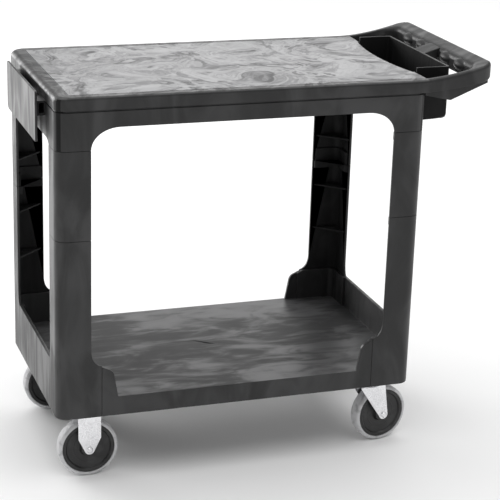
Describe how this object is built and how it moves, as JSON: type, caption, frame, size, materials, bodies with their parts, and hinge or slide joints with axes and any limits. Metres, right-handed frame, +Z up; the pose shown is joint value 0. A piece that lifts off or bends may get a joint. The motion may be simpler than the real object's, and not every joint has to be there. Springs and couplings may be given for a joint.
{
  "type": "rolling utility cart",
  "caption": "Rolling utility cart with a flat top shelf, storage bin and handle, tool holster, L-section corner legs, flat bottom shelf, rigid and swivel casters.",
  "frame": {"origin": "floor point under the centre of the whole cart footprint, holster plate to handle tip", "axes": "+X along the cart towards the handle, +Y across it towards the back, +Z up"},
  "size_m": [0.94, 0.454, 0.846],
  "materials": {
    "body_plastic": "black structural foam plastic, matt with flow swirls on the decks",
    "zinc": "bright zinc plated pressed steel",
    "hub_plastic": "black moulded wheel core, semi-matt",
    "tyre_rubber": "light grey non-marking tread rubber"
  },
  "bodies": {
    "cart": {"top_shelf": "body_plastic", "handle_and_bin": "body_plastic", "tool_holster": "body_plastic", "bottom_shelf": "body_plastic", "upper_leg_front_left": "body_plastic", "lower_leg_front_left": "body_plastic", "rigid_fork_front_left": "zinc", "axle_bolt_front_left": "zinc", "axle_nut_front_left": "zinc", "axle_sleeve_front_left": "zinc", "plate_bolt_front_left_1": "zinc", "plate_bolt_front_left_2": "zinc", "plate_bolt_front_left_3": "zinc", "plate_bolt_front_left_4": "zinc", "upper_leg_back_left": "body_plastic", "lower_leg_back_left": "body_plastic", "rigid_fork_back_left": "zinc", "axle_bolt_back_left": "zinc", "axle_nut_back_left": "zinc", "axle_sleeve_back_left": "zinc", "plate_bolt_back_left_1": "zinc", "plate_bolt_back_left_2": "zinc", "plate_bolt_back_left_3": "zinc", "plate_bolt_back_left_4": "zinc", "upper_leg_front_right": "body_plastic", "lower_leg_front_right": "body_plastic", "swivel_plate_front_right": "zinc", "swivel_kingpin_front_right": "zinc", "plate_bolt_front_right_1": "zinc", "plate_bolt_front_right_2": "zinc", "plate_bolt_front_right_3": "zinc", "plate_bolt_front_right_4": "zinc", "upper_leg_back_right": "body_plastic", "lower_leg_back_right": "body_plastic", "swivel_plate_back_right": "zinc", "swivel_kingpin_back_right": "zinc", "plate_bolt_back_right_1": "zinc", "plate_bolt_back_right_2": "zinc", "plate_bolt_back_right_3": "zinc", "plate_bolt_back_right_4": "zinc"},
    "swivel_front_right": {"swivel_bearing_front_right": "zinc", "swivel_fork_front_right": "zinc", "axle_bolt_front_right": "zinc", "axle_nut_front_right": "zinc", "axle_sleeve_front_right": "zinc"},
    "swivel_back_right": {"swivel_bearing_back_right": "zinc", "swivel_fork_back_right": "zinc", "axle_bolt_back_right": "zinc", "axle_nut_back_right": "zinc", "axle_sleeve_back_right": "zinc"},
    "wheel_front_left": {"wheel_core_front_left": "hub_plastic", "tyre_front_left": "tyre_rubber"},
    "wheel_back_left": {"wheel_core_back_left": "hub_plastic", "tyre_back_left": "tyre_rubber"},
    "wheel_front_right": {"wheel_core_front_right": "hub_plastic", "tyre_front_right": "tyre_rubber"},
    "wheel_back_right": {"wheel_core_back_right": "hub_plastic", "tyre_back_right": "tyre_rubber"}
  },
  "joints": [
    {"name": "wheel_spin_front_left", "type": "hinge", "parent": "cart", "child": "wheel_front_left", "pos_m": [-0.375, -0.172, 0.0625], "axis": [0, 1, 0], "continuous": true},
    {"name": "wheel_spin_back_left", "type": "hinge", "parent": "cart", "child": "wheel_back_left", "pos_m": [-0.375, 0.172, 0.0625], "axis": [0, 1, 0], "continuous": true},
    {"name": "swivel_turn_front_right", "type": "hinge", "parent": "cart", "child": "swivel_front_right", "pos_m": [0.249, -0.172, 0.13], "axis": [0, 0, 1], "continuous": true},
    {"name": "wheel_spin_front_right", "type": "hinge", "parent": "swivel_front_right", "child": "wheel_front_right", "pos_m": [0.27854, -0.16679, 0.0625], "axis": [-0.1736, 0.9848, 0], "continuous": true},
    {"name": "swivel_turn_back_right", "type": "hinge", "parent": "cart", "child": "swivel_back_right", "pos_m": [0.249, 0.172, 0.13], "axis": [0, 0, 1], "continuous": true},
    {"name": "wheel_spin_back_right", "type": "hinge", "parent": "swivel_back_right", "child": "wheel_back_right", "pos_m": [0.27854, 0.17721, 0.0625], "axis": [-0.1736, 0.9848, 0], "continuous": true}
  ]
}
